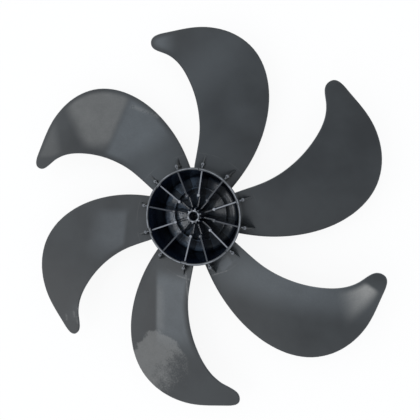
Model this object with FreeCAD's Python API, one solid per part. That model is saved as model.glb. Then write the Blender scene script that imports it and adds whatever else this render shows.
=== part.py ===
import FreeCAD, Part
import math
import os

Vector = FreeCAD.Vector

# Driving dimensions, in millimetres and degrees. Z = 0 is the front face, +Z points to the rear.
fan_diameter = 360.0
blade_count = 6

# Hub cup, open to the rear
hub_depth = 38.0
rim_diameter = 91.5
nose_diameter = 80.0
front_rounding = 8.0
shoulder_steps = 3
hub_wall = 2.2
rim_bevel = 0.5
notch_width = 5.5
notch_depth = 1.4

# Shaft boss with its blind bore
shaft_diameter = 8.0
shaft_clearance = 0.05
boss_wall = 1.9
boss_below_rim = 4.0
bore_depth = 26.0
bore_chamfer = 0.4

# Ribs inside the cup, two for each blade
rib_thickness = 1.5
first_rib_angle = 19.0
low_rib_below_rim = 4.0
high_rib_below_rim = 0.8
rib_fall = 5.0
pocket_diameter = 40.0
pocket_depth = 6.0
stub_length = 2.6
stub_below_boss = 1.5
floor_ring_diameter = 54.0
floor_ring_height = 7.0
pad_diameter = 3.2
pad_height = 0.4

# Gussets outside the cup, in line with the ribs
gusset_thickness = 1.4
gusset_below_rim = 2.6
gusset_reach = 12.0
gusset_pad_reach = 3.8

# Blades: both faces are parts of cylinders, whose crown line runs outwards and dips to the front
bend_radius = 330.0
crown_reach = 153.0
crown_angle = 27.0
crown_heading_angle = -19.0
crown_dip_angle = 9.0
crown_below_rim = 8.5
root_thickness = 2.6
tip_thickness = 1.8
edge_bevel = 0.55
outline_stretches = 6
root_diameter = 88.0

# Blade outline: share of the span from root circle to tip circle, and angle, round the blade edge
blade_outline = [
    (-0.10, -27.0), (0.00, -22.0), (0.25, -14.0), (0.46, -7.7), (0.65, -1.4), (0.87, 8.9),
    (0.964, 18.0), (0.997, 28.5), (0.988, 39.0), (0.962, 44.2), (0.920, 44.6), (0.833, 40.5),
    (0.64, 32.7), (0.43, 27.9), (0.235, 26.0), (0.00, 30.0), (-0.10, 33.0),
]

# Values that follow from the driving dimensions
rim_radius = rim_diameter / 2
nose_radius = nose_diameter / 2
root_radius = root_diameter / 2
blade_span = fan_diameter / 2 - root_radius
bore_radius = shaft_diameter / 2 + shaft_clearance
boss_radius = bore_radius + boss_wall
boss_top = hub_depth - boss_below_rim
crown_height = hub_depth - crown_below_rim
blade_pitch = 360.0 / blade_count
rib_pitch = blade_pitch / 2
embed = hub_wall / 2
reach_past = 2 * hub_depth
crown_share = (crown_reach - root_radius) / blade_span
crown_thickness = root_thickness + (tip_thickness - root_thickness) * crown_share
taper_angle = math.degrees(math.atan((root_thickness - tip_thickness) / blade_span))
up = Vector(0, 0, 1)
axis_foot = Vector(0, 0, 0)


def polar(radius, angle, height=0.0):
    turn = math.radians(angle)
    return Vector(radius * math.cos(turn), radius * math.sin(turn), height)


def turned(shape, angle):
    copy = shape.copy()
    copy.rotate(axis_foot, up, angle)
    return copy


def wall_radius(height, inset):
    climb = (height - front_rounding) / (hub_depth - front_rounding)
    return nose_radius + (rim_radius - nose_radius) * climb - inset


def cup(inset, top):
    """Filled cup: flat front, tapered wall, and a shoulder with steps outside and one bevel inside."""
    steps = 1 if inset else shoulder_steps
    profile = [Vector(0, 0, inset)]
    for index in range(steps + 1):
        turn = math.pi / 2 * index / steps
        out = nose_radius - front_rounding + (front_rounding - inset) * math.sin(turn)
        profile.append(Vector(out, 0, front_rounding - (front_rounding - inset) * math.cos(turn)))
    profile.append(Vector(wall_radius(top, inset), 0, top))
    profile.append(Vector(0, 0, top))
    return Part.Face(Part.makePolygon(profile + profile[:1])).revolve(axis_foot, up, 360)


def tube(outer_radius, inner_radius, bottom, top):
    outside = Part.makeCylinder(outer_radius, top - bottom, Vector(0, 0, bottom))
    return outside.cut(Part.makeCylinder(inner_radius, top - bottom, Vector(0, 0, bottom)))


def plate(outline, thickness, angle):
    """Upright radial plate from an outline of (radius, height) points."""
    points = [Vector(radius, -thickness / 2, height) for radius, height in outline]
    face = Part.Face(Part.makePolygon(points + points[:1]))
    return turned(face.extrude(Vector(0, thickness, 0)), angle)


def post(diameter, radius, angle, bottom, top):
    return Part.makeCylinder(diameter / 2, top - bottom, polar(radius, angle, bottom))


def hub_cup():
    shell = cup(0, hub_depth).cut(cup(hub_wall, hub_depth + hub_wall))
    rim_edges = [edge for edge in shell.Edges if edge.BoundBox.ZMin > hub_depth - embed]
    return shell.makeChamfer(rim_bevel, rim_edges)


def rib(angle, below_rim):
    outer_top = hub_depth - below_rim
    pocket_radius = pocket_diameter / 2
    inner_top = outer_top - rib_fall
    pocket_floor = inner_top - pocket_depth
    stub_end = boss_radius + stub_length
    stub_top = boss_top - stub_below_boss
    outline = [
        (boss_radius - boss_wall / 2, embed), (boss_radius - boss_wall / 2, stub_top),
        (stub_end - stub_length / 2, stub_top), (stub_end, pocket_floor),
        (pocket_radius, pocket_floor), (pocket_radius, inner_top),
        (wall_radius(outer_top, embed), outer_top), (rim_radius, outer_top), (rim_radius, embed),
    ]
    web = plate(outline, rib_thickness, angle).common(cup(embed, hub_depth))
    return web.fuse(post(pad_diameter, pocket_radius, angle, embed, inner_top + pad_height))


def bend_axis(dip_angle):
    """Direction of a blade face's cylinder axis, and the point on it below the crown."""
    dip = math.radians(dip_angle)
    direction = polar(math.cos(dip), crown_heading_angle, -math.sin(dip))
    upward = polar(math.sin(dip), crown_heading_angle, math.cos(dip))
    crown = polar(crown_reach, crown_angle, crown_height)
    return direction, crown - upward * bend_radius


def bent_round(drop, dip_angle):
    """Long cylinder whose upper side is a blade face, lowered by a drop along its radius."""
    direction, middle = bend_axis(dip_angle)
    start = middle - direction * fan_diameter
    return Part.makeCylinder(bend_radius - drop, 2 * fan_diameter, start, direction)


def height_at(radius, angle):
    """Height of the blade's rear face above a point of the plan."""
    direction, middle = bend_axis(crown_dip_angle)
    foot = polar(radius, angle) - middle
    along = foot.dot(direction)
    flat = 1 - direction.z ** 2
    half = foot.z - along * direction.z
    rest = foot.dot(foot) - along ** 2 - bend_radius ** 2
    return (math.sqrt(half ** 2 - flat * rest) - half) / flat


def runs_along_outline(edge):
    middle = edge.CenterOfMass
    return edge.Length > 2 * root_thickness and math.hypot(middle.x, middle.y) > rim_radius


def blade():
    points = [polar(root_radius + blade_span * share, angle, -reach_past) for share, angle in blade_outline]
    edge_curve = Part.BSplineCurve()
    edge_curve.interpolate(points)
    start = edge_curve.FirstParameter
    stretch = (edge_curve.LastParameter - start) / outline_stretches
    edges = [Part.makeLine(points[-1], points[0])]
    for index in range(outline_stretches):
        edges.append(edge_curve.toShape(start + index * stretch, start + (index + 1) * stretch))
    column = Part.Face(Part.Wire(Part.__sortEdges__(edges))).extrude(up * 3 * reach_past)
    below_rear = bent_round(0, crown_dip_angle)
    below_front = bent_round(crown_thickness, crown_dip_angle - taper_angle)
    vane = column.common(below_rear).cut(below_front)
    vane = vane.makeChamfer(edge_bevel, [edge for edge in vane.Edges if runs_along_outline(edge)])
    return vane.cut(cup(embed, reach_past))


def gusset(angle):
    top = hub_depth - gusset_below_rim
    pad_radius = rim_radius + gusset_pad_reach
    end_radius = rim_radius + gusset_reach
    sink = root_thickness / 2
    foot = height_at(rim_radius, angle) - sink
    toe = height_at(end_radius, angle)
    outline = [
        (wall_radius(foot, embed), foot), (wall_radius(top, embed), top), (pad_radius, top),
        (end_radius, toe), (end_radius, toe - sink),
    ]
    knob = post(pad_diameter, pad_radius, angle, height_at(pad_radius, angle) - sink, top)
    return plate(outline, gusset_thickness, angle).fuse(knob)


def notch(angle):
    block = Part.makeBox(hub_wall + 2 * embed, notch_width, 2 * notch_depth)
    block.translate(Vector(rim_radius - hub_wall - embed, -notch_width / 2, hub_depth - notch_depth))
    return turned(block, angle)


def bore():
    bottom = boss_top - bore_depth
    hole = Part.makeCylinder(bore_radius, bore_depth, Vector(0, 0, bottom))
    mouth = Part.makeCone(bore_radius, bore_radius + bore_chamfer, bore_chamfer,
                          Vector(0, 0, boss_top - bore_chamfer))
    return hole.fuse(mouth)


def fan_blade():
    vane = blade()
    ring_radius = floor_ring_diameter / 2
    pieces = [
        Part.makeCylinder(boss_radius, boss_top - embed, Vector(0, 0, embed)),
        tube(ring_radius, ring_radius - rib_thickness, embed, hub_wall + floor_ring_height),
    ]
    for index in range(blade_count):
        turn = index * blade_pitch
        pieces.append(turned(vane, turn))
        pieces.append(rib(first_rib_angle + turn, low_rib_below_rim))
        pieces.append(rib(first_rib_angle + turn - rib_pitch, high_rib_below_rim))
        pieces.append(turned(gusset(first_rib_angle), turn))
        pieces.append(turned(gusset(first_rib_angle - rib_pitch), turn))
    body = hub_cup().fuse(pieces)
    cuts = [bore()] + [notch(first_rib_angle + index * blade_pitch) for index in range(blade_count)]
    return body.cut(cuts).removeSplitter()


os.makedirs("parts", exist_ok=True)
shape = fan_blade()
shape.exportStep("parts/fan_blade.step")
print("solids", len(shape.Solids), "valid", shape.isValid(), "volume", round(shape.Volume), shape.BoundBox)
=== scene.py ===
import bpy
import bmesh
import math
import numpy as np
from mathutils import Matrix, Vector


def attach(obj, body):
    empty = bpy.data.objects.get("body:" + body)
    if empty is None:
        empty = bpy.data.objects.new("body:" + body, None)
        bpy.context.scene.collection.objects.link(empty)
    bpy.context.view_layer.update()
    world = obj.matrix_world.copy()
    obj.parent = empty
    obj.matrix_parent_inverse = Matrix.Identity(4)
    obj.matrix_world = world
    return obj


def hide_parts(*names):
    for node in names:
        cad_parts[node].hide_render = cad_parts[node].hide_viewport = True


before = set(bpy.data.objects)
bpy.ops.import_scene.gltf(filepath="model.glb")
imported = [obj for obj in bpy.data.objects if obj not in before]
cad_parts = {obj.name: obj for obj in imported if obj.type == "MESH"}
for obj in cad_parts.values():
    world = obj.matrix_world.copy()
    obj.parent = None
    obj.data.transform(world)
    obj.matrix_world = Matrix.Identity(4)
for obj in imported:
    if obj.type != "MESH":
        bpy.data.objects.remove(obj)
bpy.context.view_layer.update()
scene = bpy.context.scene
mm = 0.001


def putInScene(name, data):
    thing = bpy.data.objects.new(name, data)
    scene.collection.objects.link(thing)
    return thing


# all shapes below are in millimetres and degrees, and become metres when the mesh is made
mouldingSettings = {"farFromEdge": 99.0, "sharpAngle": 42.0}


class Moulding:
    def __init__(self):
        self.points = []
        self.faces = []
        self.rims = []  # how far each point lies from a blade's edge

    def shell(self, points, faces, rims=None):
        first = len(self.points)
        self.points.extend(tuple(point) for point in points)
        self.faces.extend(tuple(first + index for index in face) for face in faces)
        self.rims.extend(rims if rims is not None else [mouldingSettings["farFromEdge"]] * len(points))


def polar(radius, angle):
    turn = math.radians(angle)
    return radius * math.cos(turn), radius * math.sin(turn)


def evenAngles(count):
    return [360.0 * index / count for index in range(count)]


def rounded(profile, steps=4):  # corners are (radius, height, length taken by the rounding)
    points = []
    for index, (radius, height, turn) in enumerate(profile):
        corner = Vector((radius, height))
        if not turn:
            points.append(tuple(corner))
            continue
        start = corner + (Vector(profile[index - 1][:2]) - corner).normalized() * turn
        end = corner + (Vector(profile[(index + 1) % len(profile)][:2]) - corner).normalized() * turn
        for step in range(steps + 1):
            share = step / steps
            pull = corner * 2 * share * (1 - share)
            points.append(tuple(start * (1 - share) ** 2 + pull + end * share ** 2))
    return points


def lathe(moulding, profile, angles, centre=(0.0, 0.0), closed=False, dent=None):
    points, rings, faces = [], [], []
    for radius, height in profile:
        if not radius:  # a pole takes a single point
            rings.append([len(points)] * len(angles))
            points.append((centre[0], centre[1], height))
            continue
        rings.append(list(range(len(points), len(points) + len(angles))))
        for angle in angles:
            x, y = polar(radius, angle)
            points.append((centre[0] + x, centre[1] + y, dent(angle, height) if dent else height))
    pairs = list(zip(rings, rings[1:] + rings[:1]))
    for lower, upper in pairs if closed else pairs[:-1]:
        for index in range(len(angles)):
            after = (index + 1) % len(angles)
            face = [lower[index], lower[after], upper[after], upper[index]]
            faces.append(tuple(dict.fromkeys(face)))  # three corners beside a pole
    moulding.shell(points, faces)


hubSettings = {
    "depth": 38.0, "rimRadius": 45.75, "noseRadius": 40.0, "shoulder": 8.0, "shoulderLead": 0.5, "wall": 2.2,
    "rimRounding": 0.6, "innerFillet": 5.8, "segments": 180, "cornerSteps": 8,
    "notchWidth": 5.5, "notchDepth": 1.4, "notchSlope": 0.25, "notchMargin": 0.1,
    "gateRadius": 2.4, "gateDepth": 0.35, "gateSlope": 0.5, "gateRounding": 0.2,
    "bossRadius": 5.95, "bossTop": 34.0, "bossRounding": 0.35, "bossSegments": 64,
    "boreRadius": 4.05, "boreFloor": 8.0, "boreChamfer": 0.4, "boreRounding": 0.15,
    "ringRadius": 27.0, "ringWall": 1.5, "ringTop": 9.2, "ringRounding": 0.3, "ringSegments": 120,
}
sunk = hubSettings["wall"] / 2  # how deep the pieces on the cup reach into its wall


def wallRadius(height):  # of the cup's tapered outside
    h = hubSettings
    share = (height - h["shoulder"]) / (h["depth"] - h["shoulder"])
    return h["noseRadius"] + (h["rimRadius"] - h["noseRadius"]) * share


def notchHalf():  # half of a notch's width, in degrees
    return math.degrees(hubSettings["notchWidth"] / 2 / hubSettings["rimRadius"])


def rimDent(angle, height):  # the rim is cut down over every second rib
    h = hubSettings
    pitch = 360.0 / ribSettings["count"]
    away = abs((angle - ribSettings["first"] + pitch) % (2 * pitch) - pitch)
    if away < notchHalf() + h["notchSlope"] / 2:
        return min(height, h["depth"] - h["notchDepth"])
    return height


def addCup(moulding):
    h = hubSettings
    half, slope = notchHalf(), h["notchSlope"]
    angles = set(evenAngles(h["segments"]))
    for index in range(0, ribSettings["count"], 2):
        for side in (-half - slope, -half, half, half + slope):
            angles.add((ribAngle(index) + side) % 360)
    foot = h["depth"] - h["notchDepth"] - h["notchMargin"]
    flat = h["noseRadius"] - h["shoulder"] - h["shoulderLead"]
    profile = [
        (0.0, h["gateDepth"], 0), (h["gateRadius"], h["gateDepth"], h["gateRounding"]),
        (h["gateRadius"] + h["gateSlope"], 0.0, h["gateRounding"]),
        (flat, 0.0, 0), (h["noseRadius"], 0.0, h["shoulder"]),
        (wallRadius(foot), foot, 0), (h["rimRadius"], h["depth"], h["rimRounding"]),
        (h["rimRadius"] - h["wall"], h["depth"], h["rimRounding"]), (wallRadius(foot) - h["wall"], foot, 0),
        (h["noseRadius"] - h["wall"], h["wall"], h["innerFillet"]), (0.0, h["wall"], 0),
    ]
    lathe(moulding, rounded(profile, h["cornerSteps"]), sorted(angles), dent=rimDent)


def addBoss(moulding):  # with the ring on the cup's floor
    h = hubSettings
    profile = [
        (0.0, h["boreFloor"], 0), (h["boreRadius"], h["boreFloor"], 0),
        (h["boreRadius"], h["bossTop"] - h["boreChamfer"], 0),
        (h["boreRadius"] + h["boreChamfer"], h["bossTop"], h["boreRounding"]),
        (h["bossRadius"], h["bossTop"], h["bossRounding"]), (h["bossRadius"], sunk, 0), (0.0, sunk, 0),
    ]
    lathe(moulding, rounded(profile), evenAngles(h["bossSegments"]))
    inside = h["ringRadius"] - h["ringWall"]
    ring = [
        (h["ringRadius"], sunk, 0), (h["ringRadius"], h["ringTop"], h["ringRounding"]),
        (inside, h["ringTop"], h["ringRounding"]), (inside, sunk, 0),
    ]
    lathe(moulding, rounded(ring), evenAngles(h["ringSegments"]), closed=True)


padSettings = {"radius": 1.6, "height": 0.4, "rounding": 0.35, "segments": 24}


def addPad(moulding, reach, angle, bottom, top):  # round post in a rib or gusset
    p = padSettings
    profile = [(0.0, bottom, 0), (p["radius"], bottom, 0), (p["radius"], top, p["rounding"]), (0.0, top, 0)]
    lathe(moulding, rounded(profile), evenAngles(p["segments"]), centre=polar(reach, angle))


def addPlate(moulding, outline, angle, thickness, bevel, bevelSteps):  # upright radial plate, edges softened
    work = bmesh.new()
    sides = []
    for side in (-thickness / 2, thickness / 2):
        sides.append([work.verts.new((radius, side, height)) for radius, height in outline])
    work.faces.new(sides[0])
    work.faces.new(sides[1][::-1])
    for index in range(len(outline)):
        work.faces.new((sides[0][index], sides[1][index], sides[1][index - 1], sides[0][index - 1]))
    bmesh.ops.bevel(work, geom=work.edges[:], offset=bevel, segments=bevelSteps, profile=0.5, affect="EDGES")
    turn = Matrix.Rotation(math.radians(angle), 3, "Z")
    work.verts.index_update()
    faces = [[vert.index for vert in face.verts] for face in work.faces]
    moulding.shell([turn @ vert.co for vert in work.verts], faces)
    work.free()


ribSettings = {
    "count": 12, "first": 19.0, "tops": (34.0, 37.2), "fall": 5.0,  # tops take turns round the hub
    "pocketRadius": 20.0, "pocketDepth": 6.0, "stubLength": 2.6, "stubTop": 32.5, "bossOverlap": 0.8,
    "plate": {"thickness": 1.5, "bevel": 0.28, "bevelSteps": 2},
}


def ribAngle(index):
    return ribSettings["first"] + 360.0 / ribSettings["count"] * index


def addRib(moulding, angle, top):
    h, r = hubSettings, ribSettings
    inner = top - r["fall"]
    pocketFloor = inner - r["pocketDepth"]
    inBoss = h["bossRadius"] - r["bossOverlap"]
    stubEnd = h["bossRadius"] + r["stubLength"]
    centre = h["noseRadius"] - h["shoulder"]  # where the shoulder's rounding is struck from
    reach = h["shoulder"] - sunk
    slant = reach * math.sqrt(0.5)
    outline = [
        (inBoss, sunk), (inBoss, r["stubTop"]), (stubEnd - r["stubLength"] / 2, r["stubTop"]),
        (stubEnd, pocketFloor), (r["pocketRadius"], pocketFloor), (r["pocketRadius"], inner),
        (wallRadius(top) - sunk, top), (centre + reach, h["shoulder"]),
        (centre + slant, h["shoulder"] - slant), (centre, sunk),
    ]
    addPlate(moulding, outline, angle, **r["plate"])
    addPad(moulding, r["pocketRadius"], angle, sunk, inner + padSettings["height"])


bladeSettings = {
    "count": 6, "rootCircle": 44.0, "tipCircle": 180.0,
    "bendRadius": 330.0, "crownReach": 153.0, "crownAngle": 27.0, "crownHeight": 29.5,
    "crownHeading": -19.0, "crownDip": 9.0, "rootThickness": 2.6, "tipThickness": 1.8,
    "edgeRounding": 0.9, "rootFillet": 2.0,
    "outline": [  # share of the span from root to tip circle, and angle, round the blade's edge
        (-0.10, -27.0), (0.00, -22.0), (0.25, -14.0), (0.46, -7.7), (0.65, -1.4), (0.87, 8.9),
        (0.964, 18.0), (0.997, 28.5), (0.988, 39.0), (0.962, 44.2), (0.920, 44.6), (0.833, 40.5),
        (0.64, 32.7), (0.43, 27.9), (0.235, 26.0), (0.00, 30.0), (-0.10, 33.0),
    ],
    "tipPlace": 9.5,  # where the two long edges meet, counted in outline points
    "samples": 3200, "gapStep": 2,  # along the outline, and every how many of them a gap is measured to
    "rootSteps": (0.0, 1.1, 1.3, 1.7, 2.3, 3.1, 4.4, 6.5), "rowStep": 3.6,
    "tipSteps": (13.0, 10.5, 8.4, 6.6, 5.1, 3.9, 2.8, 1.8, 0.9),
    "insets": (0.0, 0.05, 0.2, 0.48, 0.9, 1.8), "fullChord": 12.0, "columns": 16,
    "wallPasses": 4, "rootPull": 3,  # how fast the rows straighten away from the cup
}


def bladeHeight(plan, drop, dipAngle):  # height of a blade face over points of the plan
    b = bladeSettings
    dip = math.radians(dipAngle)
    up = np.array([0.0, 0.0, 1.0])
    ahead = np.array([*polar(1.0, b["crownHeading"]), 0.0])
    direction = ahead * math.cos(dip) - up * math.sin(dip)
    upward = ahead * math.sin(dip) + up * math.cos(dip)
    crown = np.array([*polar(b["crownReach"], b["crownAngle"]), b["crownHeight"]])
    foot = np.concatenate([plan, np.zeros((len(plan), 1))], axis=1) - (crown - upward * b["bendRadius"])
    along = foot @ direction
    flat = 1 - direction[2] ** 2
    lean = foot[:, 2] - along * direction[2]
    rest = (foot ** 2).sum(axis=1) - along ** 2 - (b["bendRadius"] - drop) ** 2
    return (np.sqrt(lean ** 2 - flat * rest) - lean) / flat


def smoothThrough(points, samples):  # natural cubic spline, with the parameter at each point
    points = np.array(points)
    knots = np.concatenate([[0.0], np.cumsum(np.linalg.norm(np.diff(points, axis=0), axis=1))])
    gaps = np.diff(knots)
    slopes = np.diff(points, axis=0) / gaps[:, None]
    system, right = np.eye(len(points)), np.zeros_like(points)
    for index in range(1, len(points) - 1):
        system[index, index - 1:index + 2] = gaps[index - 1], 2 * (gaps[index - 1] + gaps[index]), gaps[index]
        right[index] = 6 * (slopes[index] - slopes[index - 1])
    bends = np.linalg.solve(system, right)
    places = np.linspace(0.0, knots[-1], samples)
    cell = np.clip(np.searchsorted(knots, places) - 1, 0, len(gaps) - 1)
    gap = gaps[cell][:, None]
    after = (places - knots[cell])[:, None]
    before = (knots[cell + 1] - places)[:, None]
    curve = (bends[cell] * before ** 3 + bends[cell + 1] * after ** 3) / (6 * gap)
    curve += (points[cell] / gap - bends[cell] * gap / 6) * before
    curve += (points[cell + 1] / gap - bends[cell + 1] * gap / 6) * after
    return curve, knots


def alongEdge(edge, shares):  # points at shares of an edge's length, and that length
    length = np.concatenate([[0.0], np.cumsum(np.linalg.norm(np.diff(edge, axis=0), axis=1))])
    places = shares * length[-1]
    return np.stack([np.interp(places, length, edge[:, axis]) for axis in (0, 1)], axis=1), length[-1]


def bladeShell():  # upper and lower grid of points, their gaps to the edge, and the tip
    b, h = bladeSettings, hubSettings
    span = b["tipCircle"] - b["rootCircle"]
    corners = [polar(b["rootCircle"] + span * share, angle) for share, angle in b["outline"]]
    outline, knots = smoothThrough(corners, b["samples"])
    tipPlace = np.interp(b["tipPlace"], np.arange(len(knots)), knots) / knots[-1]
    tip = int(round(tipPlace * (b["samples"] - 1)))
    thinning = b["rootThickness"] - b["tipThickness"]
    crownThickness = b["rootThickness"] - thinning * (b["crownReach"] - b["rootCircle"]) / span
    taper = math.degrees(math.atan(thinning / span))

    def faces(plan):
        return bladeHeight(plan, 0.0, b["crownDip"]), bladeHeight(plan, crownThickness, b["crownDip"] - taper)

    def outsideWall(edge):
        rear, front = faces(edge)
        return edge[np.hypot(*edge.T) >= wallRadius((rear + front) / 2) - sunk]

    # rows run from one long edge to the other, closer together at the root and the tip
    edges = [outsideWall(outline[:tip + 1]), outsideWall(outline[tip:][::-1])]
    length = sum(alongEdge(edge, np.zeros(1))[1] for edge in edges) / 2
    first, last = b["rootSteps"][-1], length - b["tipSteps"][0]
    middle = np.linspace(first, last, int((last - first) / b["rowStep"]) + 1)[1:-1]
    rows = np.concatenate([b["rootSteps"], middle, length - np.array(b["tipSteps"])]) / length
    trailing, leading = [alongEdge(edge, rows)[0] for edge in edges]
    chord = np.linalg.norm(leading - trailing, axis=1)
    insets = np.array(b["insets"]) * np.minimum(1.0, chord / b["fullChord"])[:, None] / chord[:, None]
    inside = np.linspace(0.0, 1.0, b["columns"] + 2)[None, 1:-1]
    core = insets[:, -1:] + (1 - 2 * insets[:, -1:]) * inside
    across = np.concatenate([insets, core, 1 - insets[:, ::-1]], axis=1)
    count = across.shape[1]
    plan = trailing[:, None] + across[..., None] * (leading - trailing)[:, None]

    # the root row follows the cup's wall
    turns = np.arctan2([trailing[0, 1], leading[0, 1]], [trailing[0, 0], leading[0, 0]])
    turn = turns[0] + across * (turns[1] - turns[0])
    reach = np.full(turn.shape, h["rimRadius"])
    for _ in range(b["wallPasses"]):
        arc = np.stack([reach * np.cos(turn), reach * np.sin(turn)], axis=-1)
        rear, front = faces(arc.reshape(-1, 2))
        reach = (wallRadius((rear + front) / 2) - sunk).reshape(turn.shape)
    straight = trailing[0] + across[..., None] * (leading[0] - trailing[0])
    plan = (plan + ((1 - rows) ** b["rootPull"])[:, None, None] * (arc - straight)).reshape(-1, 2)

    # thickness, rounded at the edge and swelling into the wall
    nearby = outline[None, ::b["gapStep"]]
    gap = np.min(np.linalg.norm(plan[:, None] - nearby, axis=2), axis=1).reshape(-1, count)
    gap[:, 0] = gap[:, -1] = 0.0
    gap = gap.reshape(-1)
    rear, front = faces(plan)
    level = (rear + front) / 2
    roundness = np.sqrt(1 - (1 - np.minimum(1.0, gap / b["edgeRounding"])) ** 2)
    fillet = b["rootFillet"]
    toWall = np.clip(np.hypot(*plan.T) - wallRadius(level), 0.0, fillet)
    swell = (fillet - np.sqrt(fillet ** 2 - (fillet - toWall) ** 2)) * np.minimum(1.0, gap / fillet) ** 2
    half = (rear - front) / 2 * roundness + swell
    upper = np.concatenate([plan, (level + half)[:, None]], axis=1)
    lower = np.concatenate([plan, (level - half)[:, None]], axis=1)
    tipPlan = outline[tip:tip + 1]
    tipPoint = [*tipPlan[0], float(np.mean(faces(tipPlan)))]
    return upper.reshape(-1, count, 3), lower.reshape(-1, count, 3), gap.reshape(-1, count), tipPoint


def addBlade(moulding, grids, angle):
    upper, lower, gap, tipPoint = grids
    turn = Matrix.Rotation(math.radians(angle), 3, "Z")
    count = upper.shape[1]
    points, rims, top, bottom, faces = [], [], [], [], []
    for rowUpper, rowLower, rowGap in zip(upper, lower, gap):
        top.append(list(range(len(points), len(points) + count)))
        points.extend(rowUpper)
        rims.extend(rowGap)
        inner = list(range(len(points), len(points) + count - 2))
        bottom.append([top[-1][0], *inner, top[-1][-1]])  # both faces share the points on the edge
        points.extend(rowLower[1:-1])
        rims.extend(rowGap[1:-1])
    tip = len(points)
    points.append(tipPoint)
    rims.append(0.0)
    for index in range(len(top) - 1):
        for step in range(count - 1):
            for grid, order in ((top, 1), (bottom, -1)):
                near, far = grid[index], grid[index + 1]
                corners = (near[step], near[step + 1], far[step + 1], far[step])
                faces.append(corners[::order])
    for step in range(count - 1):
        faces.append((top[-1][step], top[-1][step + 1], tip))
        faces.append((bottom[-1][step + 1], bottom[-1][step], tip))
        rootFace = (top[0][step + 1], top[0][step], bottom[0][step], bottom[0][step + 1])
        faces.append(tuple(dict.fromkeys(rootFace)))
    moulding.shell([turn @ Vector(point) for point in points], faces, rims)


gussetSettings = {
    "top": 35.4, "reach": 12.0, "padReach": 3.8, "sink": 1.3,
    "plate": {"thickness": 1.4, "bevel": 0.25, "bevelSteps": 2},
}


def addGusset(moulding, angle):  # stands on a blade, outside the cup and in line with a rib
    g, h, b = gussetSettings, hubSettings, bladeSettings
    lowest = ribAngle(-1)
    turn = lowest + (angle - lowest) % (360.0 / b["count"])  # the same place on the first blade
    pad, end = h["rimRadius"] + g["padReach"], h["rimRadius"] + g["reach"]
    plan = np.array([polar(radius, turn) for radius in (h["rimRadius"], pad, end)])
    foot, knob, toe = bladeHeight(plan, 0.0, b["crownDip"])
    base = foot - g["sink"]
    outline = [
        (wallRadius(base) - sunk, base), (wallRadius(g["top"]) - sunk, g["top"]),
        (pad, g["top"]), (end, toe), (end, toe - g["sink"]),
    ]
    addPlate(moulding, outline, angle, **g["plate"])
    addPad(moulding, pad, angle, knob - g["sink"], g["top"])


moulding = Moulding()
addCup(moulding)
addBoss(moulding)
grids = bladeShell()
for index in range(ribSettings["count"]):
    addRib(moulding, ribAngle(index), ribSettings["tops"][index % 2])
    addGusset(moulding, ribAngle(index))
for angle in evenAngles(bladeSettings["count"]):
    addBlade(moulding, grids, angle)
print("moulding drawn:", len(moulding.points), "points,", len(moulding.faces), "faces")

mesh = bpy.data.meshes.new("fan_moulding")
mesh.from_pydata([tuple(value * mm for value in point) for point in moulding.points], [], moulding.faces)
work = bmesh.new()
work.from_mesh(mesh)
bmesh.ops.recalc_face_normals(work, faces=work.faces[:])
work.to_mesh(mesh)
work.free()
mesh.attributes.new("edgeGap", "FLOAT", "POINT").data.foreach_set("value", moulding.rims)
mesh.shade_smooth()
mesh.set_sharp_from_angle(angle=math.radians(mouldingSettings["sharpAngle"]))
fan = putInScene("fan_moulding", mesh)
evenShade = fan.modifiers.new("even shade", "WEIGHTED_NORMAL")
evenShade.keep_sharp = True
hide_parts("fan_blade")
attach(fan, "root")


# one socket with Python operators, so that masks read as plain expressions
class Value:
    def __init__(self, shader, socket):
        self.shader = shader
        self.socket = socket

    def maths(self, operation, *items):
        return self.shader.add("Math", {"operation": operation}, dict(enumerate(items)))

    def __add__(self, other):
        return self.maths("ADD", self, other)

    def __radd__(self, other):
        return self.maths("ADD", other, self)

    def __sub__(self, other):
        return self.maths("SUBTRACT", self, other)

    def __rsub__(self, other):
        return self.maths("SUBTRACT", other, self)

    def __mul__(self, other):
        return self.maths("MULTIPLY", self, other)

    def __rmul__(self, other):
        return self.maths("MULTIPLY", other, self)

    def __truediv__(self, other):
        return self.maths("DIVIDE", self, other)

    def __rtruediv__(self, other):
        return self.maths("DIVIDE", other, self)

    def __abs__(self):
        return self.maths("ABSOLUTE", self)

    def low(self, other):
        return self.maths("MINIMUM", self, other)

    def high(self, other):
        return self.maths("MAXIMUM", self, other)

    def root(self):
        return self.maths("SQRT", self)

    def cosine(self):
        return self.maths("COSINE", self)

    def turnOver(self, other):  # angle of the point (other, self) about the middle
        return self.maths("ARCTAN2", self, other)


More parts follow.
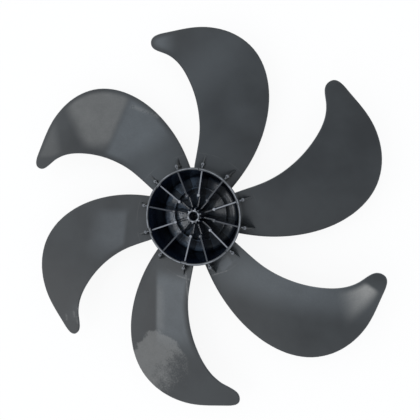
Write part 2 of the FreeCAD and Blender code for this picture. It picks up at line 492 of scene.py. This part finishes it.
# nodes of a material or the world: add() makes any node from its type, settings and sockets
class Shader:
    def __init__(self, owner):
        self.owner = owner
        self.owner.use_nodes = True
        self.tree = self.owner.node_tree
        self.tree.nodes.clear()

    def add(self, kind, settings, sockets, out=0):
        node = self.tree.nodes.new("ShaderNode" + kind)
        for name, setting in settings.items():
            setattr(node, name, setting)
        for name, value in sockets.items():  # a number where several sockets share a name
            if isinstance(value, Value):
                self.tree.links.new(value.socket, node.inputs[name])
            else:
                node.inputs[name].default_value = value
        return Value(self, node.outputs[out]) if node.outputs else None

    def ramp(self, value, start, end):  # smooth step from start to end
        sockets = {"Value": value, "From Min": start, "From Max": end}
        return self.add("MapRange", {"interpolation_type": "SMOOTHSTEP"}, sockets)

    def mix(self, share, first, second):  # of colours
        return self.add("Mix", {"data_type": "RGBA"}, {0: share, 6: first, 7: second}, 2)

    def noise(self, place, size, detail, roughness=0.55):  # size of its features in millimetres
        sockets = {"Vector": place, "Scale": 1.0 / (size * mm), "Detail": detail, "Roughness": roughness}
        return self.add("TexNoise", {}, sockets)

    def bump(self, height, depth, **under):
        return self.add("Bump", {}, {"Height": height, "Distance": depth * mm, "Strength": 1.0, **under})

    def finish(self, surface):
        kind = "OutputMaterial" if isinstance(self.owner, bpy.types.Material) else "OutputWorld"
        self.add(kind, {}, {"Surface": surface})
        return self.owner


white = (1.0, 1.0, 1.0, 1.0)
plasticSettings = {
    "body": (0.012, 0.0135, 0.015, 1.0), "pale": (0.024, 0.027, 0.029, 1.0),
    # on the next line, a darker colour painted as shade into the cup's inside, and a bluish colour painted as
    # light on the hub's floor
    "paintedHubShade": (0.003, 0.005, 0.011, 1.0), "colourLayer": (0.205, 0.280, 0.390, 1.0),
    "hazeAndPaintedLight": (0.228, 0.250, 0.270, 1.0), "dustAndPaintedLight": (0.258, 0.252, 0.240, 1.0),
    "wornAndPaintedLight": (0.215, 0.222, 0.245, 1.0),
    "roughness": 0.34, "dullDust": 0.25, "dullMottle": 0.12, "hubGloss": 0.12,
    "mottle": 55.0, "mottleDetail": 4.0, "mottleSpread": (0.3, 0.7),
    "cloud": 11.0, "cloudDetail": 5.0, "cloudRoughness": 0.62, "clumps": (0.42, 0.58),
    "speck": 1.5, "grain": 0.45, "grainDepth": 0.010, "wave": 34.0, "waveDepth": 0.26, "plainDetail": 2.0,
    "insideHub": (43.3, 43.6),
}
dustAndPaintedLightSettings = {
    "facing": (0.2, 0.6), "fromEdge": (1.0, 7.0), "cloudSwing": 0.6, "speckSwing": 0.4,
    # how much paler the blades' rear faces grow towards their roots, and over which radii
    "rootPaler": 0.035, "rootPalerReach": (92.0, 62.0), "scuffBreaks": (0.75, 1.15),
    "partingRadius": 59.5, "partingWidth": 0.5, "partingShare": 0.10,
}
# the first of these patches is painted light along a blade and the fourth a painted highlight; the second and
# third are pale marks
hazeAndPaintedLightPatches = [  # place and half sizes in millimetres, turn in degrees, where the edge starts and ends
    {"at": (92.0, -60.0), "size": (85.0, 25.0), "turn": -8.0,
     "ragged": 0.1, "share": 0.20, "edge": (0.2, 1.25)},
    {"at": (-121.0, -99.0), "size": (13.0, 11.0), "turn": 30.0,
     "ragged": 0.8, "share": 0.04, "edge": (0.4, 1.1)},
    {"at": (30.0, -44.0), "size": (12.0, 8.0), "turn": 35.0,
     "ragged": 0.9, "share": 0.13, "edge": (0.5, 0.9)},
    {"at": (48.0, 92.0), "size": (26.0, 16.0), "turn": -30.0,
     "ragged": 0.2, "share": 0.05, "edge": (0.1, 1.2)},
]
drift = {  # settled dust on the bottom blade, which breaks up along the way it was blown
    "patch": {"at": (-33.0, -154.0), "size": (33.0, 41.0), "turn": 8.0,
              "ragged": 0.30, "share": 0.35, "edge": (0.92, 1.02)},
    "fade": {"at": (-26.0, -146.0), "turn": -32.0, "start": 34.0, "end": -26.0},
    "grit": 0.6, "lump": 0.9, "edge": (0.22, 0.85),
}
dustAndPaintedLightFilms = [  # dried dust in the first two, each inside a few straight wiped lines that it grows across; the third is a painted sheen near a blade's tip and the fourth a painted highlight band down the bottom blade, grown the same way
    {"share": 0.33, "lines": [
        {"at": (-74.0, 104.0), "turn": 160.7, "start": -3.0, "end": 5.0},
        {"at": (-137.0, 103.0), "turn": 30.4, "start": -4.0, "end": 12.0},
        {"at": (-95.0, 66.0), "turn": 90.0, "start": -8.0, "end": 12.0},
    ]},
    {"share": 0.13, "lines": [
        {"at": (-141.0, 82.0), "turn": 197.0, "start": 0.0, "end": 12.0},
        {"at": (-141.0, 57.0), "turn": 90.0, "start": -2.0, "end": 3.0},
    ]},
    {"share": 0.90, "lines": [
        {"at": (160.0, -59.5), "turn": -125.0, "start": -2.0, "end": 2.5},
        {"at": (156.0, -74.0), "turn": 138.7, "start": -2.0, "end": 10.0},
        {"at": (126.0, -66.0), "turn": 15.0, "start": 0.0, "end": 31.0},
    ]},
    {"share": 0.19, "lines": [
        {"at": (-39.0, -88.0), "turn": 1.0, "start": -2.0, "end": 2.0},
        {"at": (-27.0, -88.0), "turn": 181.0, "start": 0.0, "end": 10.0},
        {"at": (-33.0, -62.0), "turn": -90.0, "start": 0.0, "end": 14.0},
        {"at": (-33.0, -112.0), "turn": 90.0, "start": -8.0, "end": 8.0},
    ]},
]
hazeAndPaintedLightFilms = [  # thinner films, cooler in tone: the first is haze on the bottom blade that also stands in as painted light from the left, the second a painted bluish reflection, the third a paler band by a blade's root
    {"share": 0.235, "lines": [
        {"at": (-39.0, -88.0), "turn": 1.0, "start": -3.0, "end": 2.5},
        {"at": (-20.0, -50.0), "turn": -90.0, "start": 0.0, "end": 16.0},
        {"at": (-20.0, -116.0), "turn": 90.0, "start": -20.0, "end": 8.0},
        {"at": (2.0, -80.0), "turn": 180.0, "start": -1.0, "end": 1.0},
    ]},
    {"share": 0.21, "lines": [
        {"at": (-74.0, 104.0), "turn": -19.3, "start": -4.0, "end": 5.0},
        {"at": (-52.0, 62.0), "turn": 122.0, "start": -12.0, "end": 14.0},
        {"at": (-14.0, 90.0), "turn": 180.0, "start": 0.0, "end": 22.0},
    ]},
    {"share": 0.16, "lines": [
        {"at": (-70.0, -16.0), "turn": 180.0, "start": -2.0, "end": 4.0},
        {"at": (-118.0, -17.0), "turn": 0.0, "start": 0.0, "end": 30.0},
        {"at": (-92.0, 4.0), "turn": -90.0, "start": -4.0, "end": 8.0},
        {"at": (-88.0, -30.0), "turn": 90.0, "start": -24.0, "end": 6.0},
    ]},
]
scuffs = [  # ends and half width in millimetres
    {"ends": ((-8.6, -47.0), (-5.6, -77.0)), "width": 1.1, "share": 0.40},
    {"ends": ((-17.0, -57.5), (-4.5, -59.5)), "width": 1.3, "share": 0.30},
    {"ends": ((-125.0, -99.5), (-124.0, -104.5)), "width": 2.0, "share": 0.30},
    {"ends": ((-134.3, -103.0), (-133.8, -108.0)), "width": 2.0, "share": 0.22},
    {"ends": ((-120.0, -94.0), (-119.5, -98.5)), "width": 2.2, "share": 0.26},
    {"ends": ((-121.0, -104.0), (-120.5, -110.0)), "width": 1.8, "share": 0.20},
    {"ends": ((-66.0, 107.0), (-41.0, 97.0)), "width": 3.5, "share": 0.24},
    {"ends": ((15.0, -57.2), (30.0, -51.2)), "width": 0.8, "share": 0.40},
]
wearAndPaintedLightSettings = {  # rubbed places, lightened also as painted highlight where they face up: the heights and the upward facing over which they come in
    "tops": {"heights": (27.5, 28.8), "facing": (0.90, 0.99), "least": 0.12},
    "rim": {"heights": (36.2, 36.5), "facing": (0.7, 0.95), "radius": 44.65, "band": (0.15, 0.6),
            "least": 0.45, "more": 0.8, "clumps": (0.40, 0.60)},
    "pads": {"heights": (35.0, 35.3), "facing": (0.6, 0.9), "from": (46.2, 46.6), "to": (51.5, 52.5),
             "share": 0.45},
    "edges": {"band": (0.15, 0.75), "clumps": (0.35, 0.65), "share": 0.30},
    "speckSwing": 0.6,
}
hubFloorLightSettings = {  # pale painted light and reflection on the hub's floor, in clumps, stronger on one side where the light falls
    "heights": (8.0, 12.0), "facing": (0.5, 0.9), "sides": (16.0, -12.0),
    "leastSide": 0.12, "leastClumps": 0.3,
}


def aboutZero(noise):
    return noise - 0.5


def swing(noise, amount):  # noise as a factor about 1
    return 1 - amount / 2 + amount * noise


def atLeast(least, mask):
    return least + (1 - least) * mask


def patchMask(s, x, y, cloud, at, size, turn, ragged, share, edge):
    c, n = polar(1.0, turn)
    u = ((x - at[0]) * c + (y - at[1]) * n) / size[0]
    v = ((y - at[1]) * c - (x - at[0]) * n) / size[1]
    away = (u * u + v * v).root() + aboutZero(cloud) * (2 * ragged)
    return (1 - s.ramp(away, *edge)) * share


def scuffMask(s, x, y, ends, width, share):
    (x0, y0), (x1, y1) = ends
    dx, dy = x1 - x0, y1 - y0
    along = (((x - x0) * dx + (y - y0) * dy) / (dx * dx + dy * dy)).high(0.0).low(1.0)
    u, v = x - x0 - along * dx, y - y0 - along * dy
    return (1 - s.ramp((u * u + v * v).root(), 0.0, width)) * share


def sideMask(s, x, y, at, turn, start, end):  # grows across a straight line
    c, n = polar(1.0, turn)
    return s.ramp((x - at[0]) * c + (y - at[1]) * n, start, end)


def darkPlastic():
    p = plasticSettings
    s = Shader(bpy.data.materials.new("dark moulded plastic"))
    place = s.add("TexCoord", {}, {}, "Object")
    x, y, z = [s.add("SeparateXYZ", {}, {"Vector": place}, axis) / mm for axis in "XYZ"]
    normal = s.add("NewGeometry", {}, {}, "Normal")
    facing = s.add("SeparateXYZ", {}, {"Vector": normal}, "Z")
    edgeGap = s.add("Attribute", {"attribute_name": "edgeGap"}, {}, "Fac")
    radius = (x * x + y * y).root()
    inHub = 1 - s.ramp(radius, *p["insideHub"])
    mottle = s.noise(place, p["mottle"], p["mottleDetail"])
    cloud = s.noise(place, p["cloud"], p["cloudDetail"], p["cloudRoughness"])
    speck = s.noise(place, p["speck"], p["plainDetail"])
    clumps = s.ramp(cloud, *p["clumps"])

    # dust, films, scuffs and the painted highlights and reflections lie on the rear faces only
    d = dustAndPaintedLightSettings
    rear = s.ramp(facing, *d["facing"])

    def spread(colourLayer):
        share = s.ramp(edgeGap, *d["fromEdge"]) * colourLayer["share"]
        for line in colourLayer["lines"]:
            share = share * sideMask(s, x, y, **line)
        return share

    settled = sideMask(s, x, y, **drift["fade"])
    settled = settled + aboutZero(speck) * drift["grit"] + aboutZero(cloud) * drift["lump"]
    dustAndPaintedLight = patchMask(s, x, y, cloud, **drift["patch"]) * s.ramp(settled, *drift["edge"])
    for colourLayer in dustAndPaintedLightFilms:
        dustAndPaintedLight = dustAndPaintedLight + spread(colourLayer)
    # haze, painted highlights and painted reflections on the rear faces, with paler blade roots
    hazeAndPaintedLight = s.ramp(radius, *d["rootPalerReach"]) * d["rootPaler"]
    for patch in hazeAndPaintedLightPatches:
        hazeAndPaintedLight = hazeAndPaintedLight + patchMask(s, x, y, cloud, **patch)
    for colourLayer in hazeAndPaintedLightFilms:
        hazeAndPaintedLight = hazeAndPaintedLight + spread(colourLayer)
    uneven = swing(cloud, d["cloudSwing"]) * swing(speck, d["speckSwing"])
    hazeAndPaintedLight = hazeAndPaintedLight * uneven * rear
    dustAndPaintedLight = dustAndPaintedLight * uneven
    for scuff in scuffs:
        dustAndPaintedLight = dustAndPaintedLight.high(scuffMask(s, x, y, **scuff) * s.ramp(speck + cloud, *d["scuffBreaks"]))
    parting = (1 - s.ramp(abs(radius - d["partingRadius"]), 0.0, d["partingWidth"])) * clumps
    dustAndPaintedLight = (dustAndPaintedLight + parting * d["partingShare"]) * rear

    # rubbed tops of the rim, ribs, boss and pads, and the blades' thin edges, with painted highlight on them
    def level(place):
        return s.ramp(z, *place["heights"]) * s.ramp(facing, *place["facing"])

    w = wearAndPaintedLightSettings
    ribTurn = (y.turnOver(x) - math.radians(ribSettings["first"])) * (ribSettings["count"] / 2)
    rubbedAndLitRibs = s.ramp(ribTurn.cosine(), -1.0, 1.0)  # every second rib, more rubbed and with more painted highlight
    tops = inHub * level(w["tops"]) * atLeast(w["tops"]["least"], rubbedAndLitRibs)
    rim = level(w["rim"]) * (1 - s.ramp(abs(radius - w["rim"]["radius"]), *w["rim"]["band"]))
    rim = rim * (w["rim"]["least"] + w["rim"]["more"] * s.ramp(cloud, *w["rim"]["clumps"]))
    pads = level(w["pads"]) * s.ramp(radius, *w["pads"]["from"]) * (1 - s.ramp(radius, *w["pads"]["to"]))
    edges = (1 - s.ramp(edgeGap, *w["edges"]["band"])) * s.ramp(cloud, *w["edges"]["clumps"])
    wornAndPaintedLight = tops + rim + pads * w["pads"]["share"] + edges * w["edges"]["share"]
    wornAndPaintedLight = wornAndPaintedLight * swing(speck, w["speckSwing"])

    # painted light: the hub's floor is lightened in clumps, more on one side
    f = hubFloorLightSettings
    hubFloorLight = inHub * (1 - s.ramp(z, *f["heights"])) * s.ramp(facing, *f["facing"])
    hubFloorLight = hubFloorLight * atLeast(f["leastClumps"], clumps) * atLeast(f["leastSide"], s.ramp(x, *f["sides"]))

    colour = s.mix(s.ramp(mottle, *p["mottleSpread"]), p["body"], p["pale"])
    # painted shade: the cup's inside is darkened
    colour = s.mix(inHub, colour, p["paintedHubShade"])
    colour = s.mix(hubFloorLight, colour, p["colourLayer"])
    colour = s.mix(hazeAndPaintedLight.low(1.0), colour, p["hazeAndPaintedLight"])
    # this colour also carries two painted highlights besides the dust
    colour = s.mix(dustAndPaintedLight.low(1.0), colour, p["dustAndPaintedLight"])
    # rubbed places with painted highlight on their tops and edges
    colour = s.mix(wornAndPaintedLight.low(1.0), colour, p["wornAndPaintedLight"])
    dull = p["roughness"] + aboutZero(mottle) * p["dullMottle"]
    dull = dull + (dustAndPaintedLight + hazeAndPaintedLight) * p["dullDust"] - inHub * p["hubGloss"]
    grain = s.bump(s.noise(place, p["grain"], p["plainDetail"]), p["grainDepth"])
    waves = s.bump(s.noise(place, p["wave"], p["plainDetail"]), p["waveDepth"], Normal=grain)
    sockets = {"Base Color": colour, "Roughness": dull, "Normal": waves}
    return s.finish(s.add("BsdfPrincipled", {}, sockets))


mesh.materials.append(darkPlastic())
print("plastic set on the moulding")


stageSettings = {"size": 6.0, "drop": 0.0005, "colour": (0.92, 0.92, 0.92, 1.0), "glow": 0.90}


def paleFloor():
    s = Shader(bpy.data.materials.new("pale floor"))
    camera, glossy, through = [
        s.add("LightPath", {}, {}, ray) for ray in ("Is Camera Ray", "Is Glossy Ray", "Is Transmission Ray")
    ]
    seen = camera.high(glossy).high(through)
    plain = s.add("BsdfDiffuse", {}, {"Color": stageSettings["colour"]})
    glow = s.add("Emission", {}, {"Color": white, "Strength": 1.0})
    return s.finish(s.add("MixShader", {}, {0: seen * stageSettings["glow"], 1: plain, 2: glow}))


def layFloor():
    half = stageSettings["size"] / 2
    corners = [(-half, -half, 0), (half, -half, 0), (half, half, 0), (-half, half, 0)]
    floorMesh = bpy.data.meshes.new("floor")
    floorMesh.from_pydata(corners, [], [(0, 1, 2, 3)])
    floorMesh.materials.append(paleFloor())
    floor = putInScene("floor", floorMesh)
    floor.location.z = -stageSettings["drop"]


layFloor()
print("floor laid")


cameraSettings = {
    "pixels": 420,
    "focal": 472.0,               # in pixels of the photograph's frame
    "centre": (192.98, 172.49),   # where the lens axis meets the frame
    "tilt": (-0.193, -14.798),    # degrees about X and Y
    "offset": (0.00253, -0.04099, -0.45003),
    "level": 0.025,
    "sensor": 36.0, "clip": (0.01, 50.0),
}


def placeCamera():
    c = cameraSettings
    data = bpy.data.cameras.new("camera")
    data.sensor_width = c["sensor"]
    data.lens = c["focal"] * c["sensor"] / c["pixels"]
    data.shift_x = (c["pixels"] / 2 - c["centre"][0]) / c["pixels"]
    data.shift_y = (c["centre"][1] - c["pixels"] / 2) / c["pixels"]
    data.clip_start, data.clip_end = c["clip"]
    aboutX, aboutY = [Matrix.Rotation(math.radians(turn), 3, axis) for turn, axis in zip(c["tilt"], "XY")]
    back = (aboutX @ aboutY).transposed()
    place = Vector((0, 0, c["level"])) - back @ Vector(c["offset"])
    camera = putInScene("camera", data)
    camera.matrix_world = Matrix.Translation(place) @ back.to_4x4()
    scene.camera = camera


placeCamera()
print("camera placed")


lightSettings = {
    "left window": {"at": (-1.20, -0.42, 1.06), "size": 0.7, "power": 0.5, "tint": (1.0, 0.98, 0.95)},
    "far window": {"at": (0.02, 0.66, 1.56), "size": 0.6, "power": 2.1, "tint": (0.78, 0.90, 1.0)},
    "ceiling lamp": {"at": (-0.49, -0.14, 1.54), "size": 0.30, "power": 1.3, "tint": (0.95, 0.97, 1.0)},
}
roomSettings = {
    "overhead": (0.60, 0.65, 0.71, 1.0), "right": (0.91, 0.95, 0.99, 1.0), "left": (1.32, 1.37, 1.42, 1.0),
    "heights": (0.72, 0.95), "sides": (0.05, -0.55),
}


def areaLight(name, at, size, power, tint):  # aimed at the middle
    data = bpy.data.lights.new(name, "AREA")
    data.shape = "DISK"
    data.size = size
    data.energy = power
    data.color = tint
    lamp = putInScene(name, data)
    lamp.location = at
    lamp.rotation_euler = (-Vector(at)).to_track_quat("-Z", "Y").to_euler()


def paleRoom():
    r = roomSettings
    s = Shader(bpy.data.worlds.new("room"))
    way = s.add("TexCoord", {}, {}, "Generated")
    side, height = [s.add("SeparateXYZ", {}, {"Vector": way}, axis) for axis in "XZ"]
    light = s.mix(s.ramp(side, *r["sides"]), r["right"], r["left"])
    light = s.mix(s.ramp(height, *r["heights"]), light, r["overhead"])
    seen = s.add("LightPath", {}, {}, "Is Camera Ray")
    return s.finish(s.add("Background", {}, {"Color": s.mix(seen, light, white), "Strength": 1.0}))


for name, values in lightSettings.items():
    areaLight(name, **values)
scene.world = paleRoom()
scene.view_settings.view_transform = "Standard"
print("lights set")
